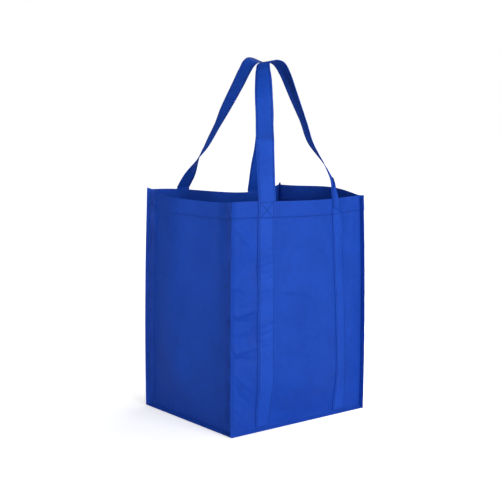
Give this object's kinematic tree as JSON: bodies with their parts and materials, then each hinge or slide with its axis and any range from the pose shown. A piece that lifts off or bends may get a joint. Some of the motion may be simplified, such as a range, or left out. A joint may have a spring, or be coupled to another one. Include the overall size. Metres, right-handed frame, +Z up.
{
  "type": "sewn carrier bag",
  "caption": "Open-topped box-shaped carrier bag of sewn non-woven cloth, with outward corner seams, a stiff base and long strap handles.",
  "frame": {"origin": "on the floor under the middle of the base", "axes": "+Z up from the floor, -Y towards the front wall, +X to the right as seen from the front"},
  "size_m": [0.3582, 0.3238, 0.6886],
  "materials": {
    "wall_cloth": "matt non-woven cloth with a soft sheen",
    "strap_cloth": "matt folded non-woven cloth",
    "board_plastic": "matt sheet"
  },
  "bodies": {
    "root": {"front_panel": "wall_cloth", "right_gusset": "wall_cloth", "back_panel": "wall_cloth", "left_gusset": "wall_cloth", "bottom_panel": "wall_cloth", "front_handle": "strap_cloth", "back_handle": "strap_cloth", "base_board": "board_plastic"}
  },
  "joints": []
}
